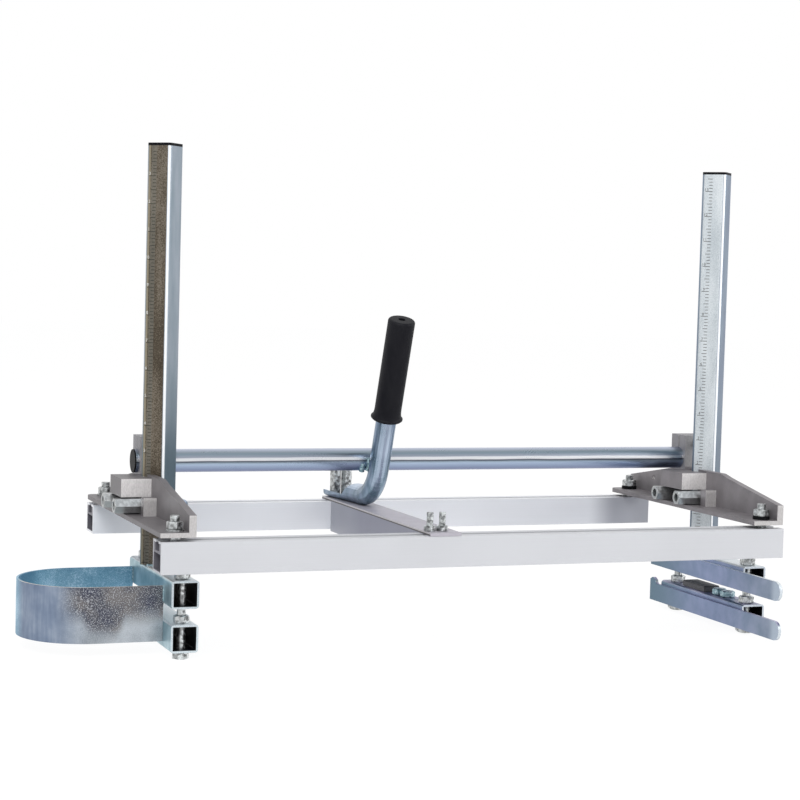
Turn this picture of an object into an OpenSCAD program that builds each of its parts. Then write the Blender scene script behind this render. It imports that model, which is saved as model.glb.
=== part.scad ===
// Chainsaw mill: two slotted rails, two end brackets with clamped depth posts, a centre brace,
// a cross tube with a bent handle, and a screw-down jaw pair under each post for the guide bar.
// Lengths are millimetres, +Z is up, X runs along the rails and Y from the front rail to the rear.

/* [Rails] */
// Length of each slotted rail
rail_length = 610; // [560:5:680]
// Width and height of the square rail section
rail_w = 28; // [26:0.5:32]
// Distance between the front faces of the two rails
rail_spacing = 271; // [266:1:290]
// Wall thickness of the rail section
rail_wall = 2.2; // [1.6:0.1:3]
// Thickness of the two lips beside the slot's mouth
slot_lip_t = 2.2; // [1.8:0.1:3]
// Width of the slot's mouth along the top of the rail
slot_mouth_w = 8.6; // [8.4:0.1:9.2]
// Width of the slot under its lips
slot_cavity_w = 14; // [13.6:0.1:16]
// Height of the slot under its lips
slot_cavity_h = 6.6; // [6:0.1:8]

/* [End brackets] */
// Width of the bracket's foot along the rails
bracket_w = 31.4; // [30:0.2:36]
// Thickness of the foot that lies over the rails
foot_t = 4.2; // [3.6:0.1:5]
// Clearance between the foot and the rails, left by the square necks of the slot bolts
foot_lift = 3.6; // [1:0.1:3.8]
// Thickness of the upright leg
leg_t = 6.4; // [5:0.2:7]
// Height of the upright leg at its two ends, above the rails
leg_end_h = 22.4; // [18:0.2:24]
// Height of the upright leg at the two knees
leg_knee_h = 39; // [38.8:0.1:40]
// Height of the upright leg's raised middle
leg_mid_h = 42; // [41:0.5:44]
// Distance from the middle of the leg to each knee
knee_reach = 54.5; // [50:0.5:60]
// Distance by which the foot stands past the rails at front and rear
bracket_overhang = 0.5; // [0:0.1:2]

/* [Depth posts] */
// Width across the flats of the square post
post_w = 25; // [24:0.5:26]
// Corner radius of the post
post_corner_r = 4; // [3:0.25:5]
// Wall thickness of the post
post_wall = 2; // [1.6:0.1:3]
// Height of the posts' tops above the rails
post_top_h = 343.5; // [320:0.5:400]
// Thickness of the cap on each post
cap_t = 2.5; // [2:0.5:5]
// Distance of the posts' axis behind the middle of the brackets
post_offset = 8.5; // [7.5:0.5:9.5]

/* [Clamp bolts] */
// Diameter of the shanks of bolts, studs and U-bolts
rod_d = 8; // [7.8:0.1:8.2]
// Width across the flats of the nuts
nut_af = 13; // [12.6:0.1:13]
// Height of a plain nut
nut_h = 6.8; // [6:0.2:7]
// Diameter of the brace's studs and of the clamp blocks' screws
small_rod_d = 6; // [5.5:0.1:6]
// Width across the flats of the brace's nuts
small_nut_af = 10; // [9:0.1:10]
// Distance between the two studs at each end of the brace
stud_pitch = 12; // [11.8:0.1:14]
// Diameter of the free hole in each bracket's leg
free_hole_d = 5; // [4:0.25:6]
// Length of the long nuts that lock the posts
long_nut_l = 32; // [30:1:38]
// Distance from the post's axis to each leg of the U-bolt
u_bolt_reach = 22.6; // [22.5:0.1:23.4]
// Thickness of a washer
washer_t = 1.6; // [1:0.1:2]

/* [Jaws] */
// Width of the square tubes that make the jaws
jaw_w = 25; // [24:0.5:28]
// Wall thickness of the jaw tubes
jaw_wall = 2; // [1.6:0.1:3]
// Depth of the left upper jaw's top below the rails' tops
left_drop = 42; // [40:0.5:50]
// Depth of the right upper jaw's top below the rails' tops
right_drop = 45; // [44:0.5:50]
// Gap between the left jaws when they are open
left_gap = 14; // [13:0.5:16]
// Distance from the front rail's front face to the left jaws' front ends
left_jaw_y = 53; // [48:1:56]
// Length of the left jaws
left_jaw_l = 160; // [156:1:166]
// Distance from the front rail's front face to the right jaws' front ends
right_jaw_y = 56.5; // [50:0.5:60]
// Length of the right jaws
right_jaw_l = 164.5; // [160:0.5:176]
// Distance from a left jaw's end to its bolt
left_bolt_inset = 13; // [12:0.5:14]
// Distance from a right jaw's end to its bolt
right_bolt_inset = 13.5; // [12.5:0.5:16]
// Height of the round heads under the right jaw
round_head_h = 5; // [4:0.5:6]
// Diameter of the round heads under the right jaw
round_head_d = 20; // [16:0.5:22]

/* [Side bars] */
// Thickness of the flat bars on the right jaws
bar_t = 3; // [2:0.5:4]
// Height of the flat bars
bar_h = 18.5; // [16:0.5:22]
// Distance by which the bars stand past the front rail
bar_front = 15.5; // [10:0.5:30]
// Distance by which the bars stand past the jaws' rear ends
bar_rear = 19; // [14:1:24]
// Height of the hook at the lower bar's rear end
hook_h = 6; // [4:0.5:6.5]

/* [Nose guard] */
// Outer width of the bent strip
guard_w = 120; // [100:1:126]
// Length of the strip's straight legs
guard_leg = 59.5; // [40:0.5:90]
// Height of the strip
guard_h = 50; // [40:0.5:54]
// Thickness of the strip
guard_t = 2; // [1.5:0.1:4]
// Depth of the strip's top edge below the left upper jaw's top
guard_drop = 8; // [4:0.5:12]

/* [Cross tube] */
// Outer diameter of the cross tube
cross_d = 22; // [20:0.5:23]
// Wall thickness of the cross tube
cross_wall = 2; // [1.5:0.1:3]
// Height of the cross tube's axis above the rails
cross_h = 50.6; // [50.4:0.1:52]
// Distance of the cross tube's axis behind the posts' axis
cross_offset = 37; // [36:0.5:38]
// Distance by which the cross tube stands past each clamp block
cross_stick_out = 2.5; // [2:0.1:8]
// Width of the clamp block along the tube
block_w = 24.6; // [22:0.2:26]
// Depth of the clamp block from front to rear
block_d = 29; // [28:0.5:32]
// Height of the clamp block's top above the rails
block_top_h = 74.4; // [73:0.2:80]

/* [Centre brace and handle] */
// Distance from the rails' left ends to the brace's left edge
brace_x = 245; // [240:1:260]
// Width of the brace's flange
brace_w = 30; // [28:0.5:34]
// Thickness of the brace
brace_t = 3; // [2:0.5:4]
// Depth of the brace's hanging flange
brace_drop = 30; // [20:1:40]
// Outer diameter of the handle's tube
handle_d = 20; // [19:0.5:21]
// Wall thickness of the handle's tube
handle_wall = 2; // [1.5:0.1:2.5]
// Lean of the handle towards the front in degrees
handle_lean = 19.3; // [15:0.1:22]
// Radius of the bend at the handle's foot
bend_r = 45; // [44:1:55]
// Height of the grip's top above the rails
grip_top_h = 190; // [170:1:210]
// Length of the rubber grip
grip_l = 102.5; // [90:0.5:115]
// Outer diameter of the rubber grip
grip_d = 26; // [24:0.5:30]
// Diameter of the collar at the grip's lower end
collar_d = 31; // [28:0.5:36]

/* [Hidden] */
$fn = 48;
// Radial gap of a running fit
run_gap = 0.05;
// Gap between pieces that move past each other
slide_gap = 0.3;
// Gap that seats a piece without pressing
seat_gap = 0.05;
hole_d = rod_d + 0.6;
bracket_l = rail_spacing + rail_w + 2 * bracket_overhang;
left_edge = -1;
end_spacing = rail_length - bracket_w - 0.6;
leg_x = left_edge + bracket_w;
mid_y = (rail_spacing + rail_w) / 2;
front_slot_y = rail_w / 2;
rear_slot_y = rail_spacing + rail_w / 2;
post_y = mid_y + post_offset;
cross_y = post_y + cross_offset;
foot_bolt_x = 15;
post_x = leg_x + 5.8;
post_tip = post_w / sqrt(2) - post_corner_r * (sqrt(2) - 1);
foot_top = foot_lift + foot_t;
nut_r = nut_af / sqrt(3);
turn_gap = 0.1;
u_bolt_h = foot_top + nut_r + turn_gap;
nut_ceiling = u_bolt_h + nut_r + turn_gap;
head_h = 5.3;
washer_d = 16;
lock_washer_t = 3;
stud_over = 5;
seat_h = leg_knee_h - 1;
block_y = cross_y + 0.5 - block_d / 2;
rail_top_z = left_drop + 2 * jaw_w + left_gap + washer_t + head_h;
right_gap = rail_top_z - right_drop - 2 * jaw_w - round_head_h;
left_low_top = left_drop + jaw_w + left_gap;
right_low_top = right_drop + jaw_w + right_gap;
guard_r = guard_w / 2;
guard_y = left_jaw_y + left_jaw_l - 12 - guard_r;
guard_x = post_x - jaw_w / 2 - guard_leg;
u_bar_x = post_x + post_tip + slide_gap + rod_d / 2;
cross_x0 = post_x - block_w / 2 - cross_stick_out;
cross_l = end_spacing + block_w + 2 * cross_stick_out;
handle_x = brace_x + brace_w / 2;
min_x = guard_x - guard_r;
max_x = end_spacing + u_bar_x + rod_d / 2;
min_y = -bar_front;
max_y = mid_y + bracket_l / 2;
screw_y = cross_y + 6;
screw_h = seat_h - 8;
pinch_h = cross_h + cross_d / 2 + small_rod_d / 2 + 1.5;
free_hole_reach = 97.5;
free_hole_h = 23.5;
small_nut_h = 5;
foot_nut_h = 24.6;
small_stud_over = 12;
centre_x = (min_x + max_x) / 2;
centre_y = (min_y + max_y) / 2;
steel = "lightsteelblue";
alloy = "silver";
saw_cut = "rosybrown";
black = "dimgray";

// Placement
module framed() { translate([-centre_x, -centre_y, rail_top_z]) children(); }
module at_end(side) { framed() translate([side * end_spacing, 0, 0]) children(); }
module along_x(length) { rotate([90, 0, 90]) linear_extrude(length) children(); }
module along_y(length) { rotate([-90, 0, 0]) linear_extrude(length) children(); }

// Fasteners and tubes
module rounded_square(w, r) {
    square([w, w - 2 * r], center = true);
    square([w - 2 * r, w], center = true);
    for (x = [-1, 1], y = [-1, 1])
        translate([x * (w / 2 - r), y * (w / 2 - r)]) circle(r);
}

module tube_section(w, r, wall) {
    difference() {
        rounded_square(w, r);
        rounded_square(w - 2 * wall, r - wall * 0.8);
    }
}

module hex_nut(h, af = nut_af, bore = rod_d) {
    difference() {
        cylinder(h = h, r = af / sqrt(3), $fn = 6);
        translate([0, 0, -1]) cylinder(h = h + 2, r = bore / 2 + run_gap);
    }
}

module washer(t, d = washer_d, bore = rod_d) {
    difference() {
        cylinder(h = t, d = d);
        translate([0, 0, -1]) cylinder(h = t + 2, r = bore / 2 + run_gap);
    }
}

module socket_screw(d, length) {
    difference() {
        union() {
            cylinder(h = length, d = d);
            translate([0, 0, -d]) cylinder(h = d, d = 1.6 * d);
        }
        translate([0, 0, -d - 1]) cylinder(h = 0.5 * d + 1, r = 0.48 * d, $fn = 6);
    }
}

// Slotted rails
module rail_section() {
    difference() {
        translate([0, -rail_w]) square(rail_w);
        translate([(rail_w - slot_mouth_w) / 2, -slot_lip_t]) square([slot_mouth_w, slot_lip_t + 1]);
        translate([(rail_w - slot_cavity_w) / 2, -slot_lip_t - slot_cavity_h])
            square([slot_cavity_w, slot_cavity_h]);
        translate([rail_wall, rail_wall - rail_w])
            square([rail_w - 2 * rail_wall, rail_w - 2 * rail_wall - slot_lip_t - slot_cavity_h]);
    }
}

module rail(y) { color(alloy) framed() translate([0, y, 0]) along_x(rail_length) rail_section(); }
module rail_front() { rail(0); }
module rail_rear() { rail(rail_spacing); }

// A bolt whose head slides under the slot's lips, with a square neck through the slot's mouth
module slot_bolt(d, head_w, neck_top, top_h) {
    head_t = slot_cavity_h - 1.6;
    translate([-head_w / 2, -head_w / 2, -slot_lip_t - head_t]) cube([head_w, head_w, head_t]);
    translate([-d / 2, -d / 2, -slot_lip_t - 1]) cube([d, d, neck_top + slot_lip_t + 1]);
    translate([0, 0, -slot_lip_t]) cylinder(h = top_h + slot_lip_t, d = d);
}

// End brackets
function arc_points(cx, cy, r, a0, a1, n) =
    [for (i = [0:n]) let (a = a0 + (a1 - a0) * i / n) [cx + r * cos(a), cy + r * sin(a)]];

module leg_outline() {
    end_y = bracket_l / 2;
    step_reach = knee_reach - 13;
    polygon([
        [-end_y, foot_lift], [-end_y, leg_end_h], [-knee_reach, leg_knee_h], [-step_reach, leg_mid_h],
        [step_reach, leg_mid_h], [knee_reach, leg_knee_h], [end_y, leg_end_h], [end_y, foot_lift]
    ]);
}

module foot_outline() {
    corner_r = 8;
    difference() {
        translate([left_edge, mid_y - bracket_l / 2]) square([bracket_w, bracket_l]);
        translate([left_edge, mid_y + bracket_l / 2]) difference() {
            translate([-1, -corner_r]) square(corner_r + 1);
            translate([corner_r, -corner_r]) circle(corner_r);
        }
    }
}

module post_notch(h0, h) {
    translate([post_x, post_y, h0]) rotate(45)
        linear_extrude(h) square(post_w + 2 * seat_gap, center = true);
}

module bracket(side) {
    block_reach = 22.2;
    rib_w = 10;
    rib_reach = 43;
    color(saw_cut) at_end(side) difference() {
        union() {
            translate([0, 0, foot_lift]) linear_extrude(foot_t) foot_outline();
            translate([leg_x - leg_t, mid_y, 0]) along_x(leg_t) leg_outline();
            // Block that backs the post
            translate([left_edge - 3, post_y - block_reach, nut_ceiling])
                cube([leg_x - leg_t - left_edge + 4, 2 * block_reach, leg_mid_h - 2.3 - nut_ceiling]);
            // Ribs between the foot and the leg, outside the long nuts
            for (s = [-1, 1])
                translate([leg_x - leg_t - 12, post_y + s * (rib_reach - rib_w / 2) - rib_w / 2, foot_top - 1])
                    cube([13, rib_w, nut_ceiling + 1.3 - foot_top + 1]);
        }
        post_notch(foot_lift - 1, leg_mid_h);
        for (y = [front_slot_y, rear_slot_y])
            translate([foot_bolt_x, y, foot_lift - 1]) cylinder(h = foot_t + 2, d = hole_d);
        for (s = [-1, 1])
            translate([leg_x - leg_t - 1, post_y + s * u_bolt_reach, u_bolt_h])
                rotate([0, 90, 0]) cylinder(h = leg_t + 2, d = hole_d);
        // Seat of the clamp block, its screw hole and a small free hole
        translate([leg_x - leg_t - 1, block_y - seat_gap, seat_h])
            cube([leg_t + 2, block_d + 2 * seat_gap, 20]);
        translate([leg_x - leg_t - 1, screw_y, screw_h]) rotate([0, 90, 0])
            cylinder(h = leg_t + 2, d = small_rod_d + 2 * run_gap);
        translate([leg_x - leg_t - 1, mid_y + free_hole_reach, free_hole_h]) rotate([0, 90, 0])
            cylinder(h = leg_t + 2, d = free_hole_d);
    }
}

// The left foot has thin washers and the right foot thick ones
function foot_washer_t(side) = side == 0 ? washer_t : lock_washer_t;

module bracket_bolts(side) {
    color(steel) at_end(side) for (y = [front_slot_y, rear_slot_y])
        translate([foot_bolt_x, y, 0])
            slot_bolt(rod_d, nut_af, foot_lift, foot_top + foot_washer_t(side) + nut_h + stud_over);
}

module bracket_washers(side) {
    color(side == 0 ? steel : black) at_end(side) for (y = [front_slot_y, rear_slot_y])
        translate([foot_bolt_x, y, foot_top]) washer(foot_washer_t(side));
}

module bracket_nuts(side) {
    color(steel) at_end(side) for (y = [front_slot_y, rear_slot_y])
        translate([foot_bolt_x, y, foot_top + foot_washer_t(side)]) hex_nut(nut_h);
}

// Square U-bolt round the post
module u_bolt(side) {
    bend = rod_d;
    leg_end_x = leg_x - leg_t - lock_washer_t - 0.72 * long_nut_l;
    color(steel) at_end(side) translate([0, post_y, u_bolt_h]) {
        for (s = [-1, 1]) {
            translate([leg_end_x, s * u_bolt_reach, 0]) rotate([0, 90, 0])
                cylinder(h = u_bar_x - bend - leg_end_x, d = rod_d);
            translate([u_bar_x - bend, s * (u_bolt_reach - bend), 0]) rotate(s > 0 ? 0 : -90)
                rotate_extrude(angle = 90) translate([bend, 0]) circle(d = rod_d);
        }
        translate([u_bar_x, bend - u_bolt_reach, 0]) rotate([-90, 0, 0])
            cylinder(h = 2 * (u_bolt_reach - bend), d = rod_d);
    }
}

module lock_washers(side) {
    color(steel) at_end(side) for (s = [-1, 1])
        translate([leg_x - leg_t - lock_washer_t, post_y + s * u_bolt_reach, u_bolt_h])
            rotate([0, 90, 0]) washer(lock_washer_t, d = 2 * nut_r);
}

module lock_nut(side, s) {
    color(steel) at_end(side)
        translate([leg_x - leg_t - lock_washer_t - long_nut_l, post_y + s * u_bolt_reach, u_bolt_h])
            rotate([0, 90, 0]) hex_nut(long_nut_l);
}

// Split block that holds the cross tube on the bracket's leg
module tube_clamp(side) {
    tongue_t = 8;
    slit_w = 2;
    color(alloy) at_end(side) difference() {
        union() {
            translate([post_x - block_w / 2, block_y, seat_h])
                cube([block_w, block_d, block_top_h - seat_h]);
            translate([leg_x, block_y, nut_ceiling - 0.5])
                cube([tongue_t, block_d, seat_h - nut_ceiling + 1.5]);
        }
        translate([post_x - block_w / 2 - 1, cross_y, cross_h]) rotate([0, 90, 0])
            cylinder(h = block_w + 2, r = cross_d / 2 + run_gap);
        translate([post_x - block_w / 2 - 1, cross_y - slit_w / 2, cross_h])
            cube([block_w + 2, slit_w, block_top_h]);
        translate([post_x, block_y - 1, pinch_h]) rotate([-90, 0, 0])
            cylinder(h = block_d + 2, r = small_rod_d / 2 + run_gap);
        translate([leg_x - 1, screw_y, screw_h]) rotate([0, 90, 0])
            cylinder(h = tongue_t + 2, r = small_rod_d / 2 + run_gap);
    }
}

module seat_screw(side) {
    color(steel) at_end(side) translate([leg_x + 8, screw_y, screw_h])
        rotate([0, -90, 0]) socket_screw(small_rod_d, 8 + leg_t);
}

module pinch_screw(side) {
    color(steel) at_end(side) translate([post_x, block_y, pinch_h])
        rotate([-90, 0, 0]) socket_screw(small_rod_d, block_d);
}

// Depth posts
module post(side, drop) {
    color(steel) at_end(side) translate([post_x, post_y, -drop]) rotate(45)
        linear_extrude(post_top_h + drop) tube_section(post_w, post_corner_r, post_wall);
}

module post_cap(side) {
    color(black) at_end(side) translate([post_x, post_y, post_top_h]) rotate(45) {
        linear_extrude(cap_t) rounded_square(post_w, post_corner_r);
        translate([0, 0, -8]) linear_extrude(8.5)
            rounded_square(post_w - 2 * post_wall - 0.4, post_corner_r - post_wall * 0.8);
    }
}

// Jaws that hold the guide bar
module jaw(side, y, length, top, inset) {
    color(steel) at_end(side) difference() {
        translate([post_x, y, -top - jaw_w / 2]) along_y(length) tube_section(jaw_w, 3, jaw_wall);
        for (b = [y + inset, y + length - inset])
            translate([post_x, b, -top - jaw_w - 1]) cylinder(h = jaw_w + 2, d = rod_d + 2 * run_gap);
    }
}

// Bent strip that shields the bar's nose, welded to the left upper jaw
module nose_guard() {
    top = left_drop + guard_drop;
    butt_h = left_drop + jaw_w - top;
    color(steel) framed() difference() {
        translate([0, guard_y, -top - guard_h]) linear_extrude(guard_h) {
            difference() {
                union() {
                    translate([guard_x, 0]) circle(guard_r, $fn = 96);
                    translate([guard_x, -guard_r]) square([guard_leg, guard_w]);
                }
                translate([guard_x, 0]) circle(guard_r - guard_t, $fn = 96);
                translate([guard_x, guard_t - guard_r])
                    square([guard_r + guard_leg, guard_w - 2 * guard_t]);
            }
        }
        translate([guard_x + guard_leg - slide_gap, guard_y - guard_r - 1, -top - guard_h - 1])
            cube([slide_gap + 1, guard_w + 2, guard_h - butt_h + 1]);
    }
}

function left_bolts() = [left_jaw_y + left_bolt_inset, left_jaw_y + left_jaw_l - left_bolt_inset];
function right_bolts() = [right_jaw_y + right_bolt_inset, right_jaw_y + right_jaw_l - right_bolt_inset];

module jaw_bolts_left() {
    foot = left_low_top + jaw_w + washer_t;
    color(steel) framed() for (y = left_bolts()) translate([post_x, y, -foot]) {
        cylinder(h = foot - left_drop + nut_h + 2, d = rod_d);
        translate([0, 0, -head_h]) cylinder(h = head_h, r = nut_r, $fn = 6);
    }
}

module jaw_washers_left() {
    color(steel) framed() for (y = left_bolts())
        translate([post_x, y, -left_low_top - jaw_w - washer_t]) washer(washer_t);
}

module jaw_bolts_right() {
    foot = right_low_top + jaw_w;
    flat_r = 4;
    head_r = round_head_d / 2;
    color(steel) at_end(1) for (y = right_bolts()) translate([post_x, y, -foot]) {
        cylinder(h = foot - right_drop + nut_h + 2, d = rod_d);
        rotate_extrude() polygon(concat(
            [[0, 0.0], [0, -round_head_h], [flat_r, -round_head_h]],
            [for (i = [1:8]) let (a = i * 90 / 8)
                [flat_r + (head_r - flat_r) * sin(a), -(round_head_h - 1) * cos(a) - 1]],
            [[head_r, 0]]));
    }
}

module jaw_lock_nuts(side, bolts, low_top) {
    color(steel) at_end(side) for (y = bolts) translate([post_x, y, -low_top]) hex_nut(nut_h);
}

module jaw_nut(side, y, drop) {
    color(steel) at_end(side) translate([post_x, y, -drop]) hex_nut(nut_h);
}

// Flat bars along the right jaws
module side_bar(top, rear_hook) {
    y0 = -bar_front;
    y1 = right_jaw_y + right_jaw_l + bar_rear;
    hook_l = 12;
    fillet_r = 3;
    bar_lift = 1.75;
    color(steel) at_end(1) translate([post_x - jaw_w / 2 - bar_t, 0, -top - jaw_w + bar_lift])
        along_x(bar_t) {
            translate([y0 + bar_h / 2, 0]) square([y1 - y0 - bar_h / 2, bar_h]);
            translate([y0 + bar_h / 2, bar_h / 2]) circle(bar_h / 2);
            if (rear_hook) {
                translate([y1 - hook_l, bar_h - 1]) square([hook_l, hook_h - 1]);
                translate([y1 - hook_l / 2, bar_h + hook_h - hook_l / 2]) circle(hook_l / 2);
                difference() {
                    translate([y1 - hook_l - fillet_r, bar_h - 1]) square(fillet_r + 1);
                    translate([y1 - hook_l - fillet_r, bar_h + fillet_r]) circle(fillet_r);
                }
            }
        }
}

// Centre brace
module centre_brace() {
    foot_y = bracket_l / 2;
    color(alloy) framed() difference() {
        union() {
            translate([brace_x, mid_y - foot_y, 0]) cube([brace_w, bracket_l, brace_t]);
            translate([brace_x, rail_w + slide_gap, -brace_drop])
                cube([brace_t, rail_spacing - rail_w - 2 * slide_gap, brace_drop + 1]);
        }
        for (p = concat(front_studs(), rear_studs()))
            translate([p[0], p[1], -1]) cylinder(h = brace_t + 2, d = small_rod_d + 0.6);
    }
}

function front_studs() = [for (s = [-1, 1]) [handle_x - 4 + s * stud_pitch / 2, front_slot_y]];
function rear_studs() = [for (s = [-1, 1]) [handle_x + s * stud_pitch / 2, rear_slot_y]];

module brace_bolts() {
    color(steel) framed() {
        for (p = front_studs()) translate([p[0], p[1], 0])
            slot_bolt(small_rod_d, small_nut_af, 0, brace_t + small_nut_h + small_stud_over);
        for (p = rear_studs()) translate([p[0], p[1], 0])
            slot_bolt(small_rod_d, small_nut_af, 0, foot_nut_z + foot_nut_h - 1);
    }
}

module brace_nuts() {
    color(steel) framed() for (p = front_studs())
        translate([p[0], p[1], brace_t]) rotate(30) hex_nut(small_nut_h, small_nut_af, small_rod_d);
}

module brace_foot_nuts() {
    color(steel) framed() for (p = rear_studs())
        translate([p[0], p[1], foot_nut_z]) rotate(30) hex_nut(foot_nut_h, small_nut_af, small_rod_d);
}

// Handle: a tube bent up from a flattened, slant-cut foot, tangent to the cross tube
handle_r = handle_d / 2;
handle_base_h = brace_t + seat_gap + handle_r;
touch_r = handle_r + cross_d / 2 + seat_gap;
touch_y = cross_y - touch_r * cos(handle_lean);
touch_h = cross_h - touch_r * sin(handle_lean);
corner_y = touch_y + (touch_h - handle_base_h) * tan(handle_lean);
bend_angle = 90 - handle_lean;
bend_start_y = corner_y + bend_r * tan(bend_angle / 2);
foot_end_y = rear_slot_y + 13;
foot_l = foot_end_y - bend_start_y;
foot_nut_z = brace_t + seat_gap + handle_wall + 1.2;
foot_half_w = 14.5;
foot_half_h = 7.5;
ring_n = 24;
grip_base_l = (grip_top_h - touch_h) / cos(handle_lean) - grip_l;

// One ring of the handle: centre y and z, direction angle, half width, half height, squareness
function foot_ring(i, n) = let (
    t = i / n,
    blend = pow(cos(90 * t), 2),
    half_h = handle_r + (foot_half_h - handle_r) * blend
) [foot_end_y - foot_l * t, brace_t + seat_gap + half_h, 0,
    handle_r + (foot_half_w - handle_r) * blend, half_h, 2 + 2 * blend];
function bend_ring(i, n) = let (a = bend_angle * i / n)
    [bend_start_y - bend_r * sin(a), handle_base_h + bend_r * (1 - cos(a)), a, handle_r, handle_r, 2];
function top_ring(length) = let (u = touch_y - (grip_base_l + length) * sin(handle_lean))
    [u, touch_h + (grip_base_l + length) * cos(handle_lean), bend_angle, handle_r, handle_r, 2];
function handle_rings() = concat(
    [for (i = [0:5]) foot_ring(i, 6)],
    [for (i = [0:12]) bend_ring(i, 12)],
    [top_ring(grip_l - 6)]);
function soft_power(v, p) = sign(v) * pow(abs(v), p);
function ring_points(r, inset) = [for (k = [0:ring_n - 1]) let (
    a = 360 * k / ring_n,
    x = (r[3] - inset) * soft_power(cos(a), 2 / r[5]),
    h = (r[4] - inset) * soft_power(sin(a), 2 / r[5])
) [handle_x + x, r[0] + h * sin(r[2]), r[1] + h * cos(r[2])]];

// Closed wall between an outer and an inner run of rings
module tube_wall(rings, wall) {
    m = len(rings);
    points = concat(
        [for (r = rings) each ring_points(r, 0)],
        [for (r = rings) each ring_points(r, wall)]);
    function at(layer, i, k) = (layer * m + i) * ring_n + (k % ring_n);
    faces = concat(
        [for (i = [0:m - 2], k = [0:ring_n - 1]) [at(0, i, k), at(0, i + 1, k), at(0, i + 1, k + 1)]],
        [for (i = [0:m - 2], k = [0:ring_n - 1]) [at(0, i, k), at(0, i + 1, k + 1), at(0, i, k + 1)]],
        [for (i = [0:m - 2], k = [0:ring_n - 1]) [at(1, i, k), at(1, i + 1, k + 1), at(1, i + 1, k)]],
        [for (i = [0:m - 2], k = [0:ring_n - 1]) [at(1, i, k), at(1, i, k + 1), at(1, i + 1, k + 1)]],
        [for (k = [0:ring_n - 1]) [at(0, 0, k), at(0, 0, k + 1), at(1, 0, k + 1)]],
        [for (k = [0:ring_n - 1]) [at(0, 0, k), at(1, 0, k + 1), at(1, 0, k)]],
        [for (k = [0:ring_n - 1]) [at(0, m - 1, k), at(1, m - 1, k + 1), at(0, m - 1, k + 1)]],
        [for (k = [0:ring_n - 1]) [at(0, m - 1, k), at(1, m - 1, k), at(1, m - 1, k + 1)]]);
    polyhedron(points, faces);
}

module handle_tube() {
    tongue_h = brace_t + 7;
    tongue_l = 0.6 * foot_l;
    rise = 40;
    rise_h = brace_t + handle_d + 2 - tongue_h;
    color(steel) framed() difference() {
        tube_wall(handle_rings(), handle_wall);
        // Cut that opens the foot into a low trough and then climbs to the full tube
        translate([handle_x - foot_half_w - 1, 0, 0]) along_x(2 * foot_half_w + 2) polygon([
            [foot_end_y + 1, tongue_h], [foot_end_y - tongue_l, tongue_h],
            [foot_end_y - tongue_l - rise_h / tan(rise), tongue_h + rise_h],
            [foot_end_y + 1, tongue_h + rise_h]]);
        for (p = rear_studs())
            translate([p[0], p[1], 0]) cylinder(h = tongue_h, d = small_rod_d + 0.6);
    }
}

module handle_grip() {
    bore_r = handle_r + 0.1;
    round_r = 2.5;
    hole_r = 3.5;
    flare_h = 9;
    r = grip_d / 2;
    color(black) framed() translate([handle_x, touch_y, touch_h]) rotate([handle_lean, 0, 0])
        translate([0, 0, grip_base_l]) rotate_extrude() difference() {
            polygon(concat(
                [[0, 0], [collar_d / 2 - 1, 0], [collar_d / 2, 1]],
                // Flare that narrows in a hollow curve from the collar to the grip
                [for (i = [0:6]) let (a = 15 * i)
                    [r + (collar_d / 2 - r) * (1 - sin(a)), 2 + flare_h * (1 - cos(a))]],
                arc_points(r - round_r, grip_l - round_r, round_r, 0, 90, 6),
                [[hole_r, grip_l], [hole_r, grip_l - 2], [0, grip_l - 2]]));
            translate([-1, -1]) square([bore_r + 1, grip_l - 5]);
        }
}

// Cross tube and its end plugs
module cross_tube() {
    color(steel) framed() translate([cross_x0, cross_y, cross_h]) rotate([0, 90, 0]) difference() {
        cylinder(h = cross_l, d = cross_d);
        translate([0, 0, -1]) cylinder(h = cross_l + 2, d = cross_d - 2 * cross_wall);
    }
}

module cross_tube_plugs() {
    color(black) framed() for (s = [0, 1])
        translate([cross_x0 + s * cross_l, cross_y, cross_h]) rotate([0, s * 180 - 90, 0]) {
            cylinder(h = 1.5, d = cross_d);
            translate([0, 0, -10]) cylinder(h = 10.5, d = cross_d - 2 * cross_wall - 0.2);
        }
}

module bracket_left() { bracket(0); }
module bracket_right() { bracket(1); }
module bracket_bolts_left() { bracket_bolts(0); }
module bracket_bolts_right() { bracket_bolts(1); }
module bracket_washers_left() { bracket_washers(0); }
module bracket_washers_right() { bracket_washers(1); }
module bracket_nuts_left() { bracket_nuts(0); }
module bracket_nuts_right() { bracket_nuts(1); }
module u_bolt_left() { u_bolt(0); }
module u_bolt_right() { u_bolt(1); }
module lock_washers_left() { lock_washers(0); }
module lock_washers_right() { lock_washers(1); }
module tube_clamp_left() { tube_clamp(0); }
module tube_clamp_right() { tube_clamp(1); }
module seat_screw_left() { seat_screw(0); }
module seat_screw_right() { seat_screw(1); }
module pinch_screw_left() { pinch_screw(0); }
module pinch_screw_right() { pinch_screw(1); }
module lock_nut_left_front() { lock_nut(0, -1); }
module lock_nut_left_rear() { lock_nut(0, 1); }
module lock_nut_right_front() { lock_nut(1, -1); }
module lock_nut_right_rear() { lock_nut(1, 1); }
module post_left() { post(0, left_drop); }
module post_right() { post(1, right_drop); }
module post_cap_left() { post_cap(0); }
module post_cap_right() { post_cap(1); }
module upper_jaw_left() { jaw(0, left_jaw_y, left_jaw_l, left_drop, left_bolt_inset); }
module lower_jaw_left() { jaw(0, left_jaw_y, left_jaw_l, left_low_top, left_bolt_inset); }
module upper_jaw_right() { jaw(1, right_jaw_y, right_jaw_l, right_drop, right_bolt_inset); }
module lower_jaw_right() { jaw(1, right_jaw_y, right_jaw_l, right_low_top, right_bolt_inset); }
module upper_bar_right() { side_bar(right_drop, false); }
module lower_bar_right() { side_bar(right_low_top, true); }
module jaw_lock_nuts_left() { jaw_lock_nuts(0, left_bolts(), left_low_top); }
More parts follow.
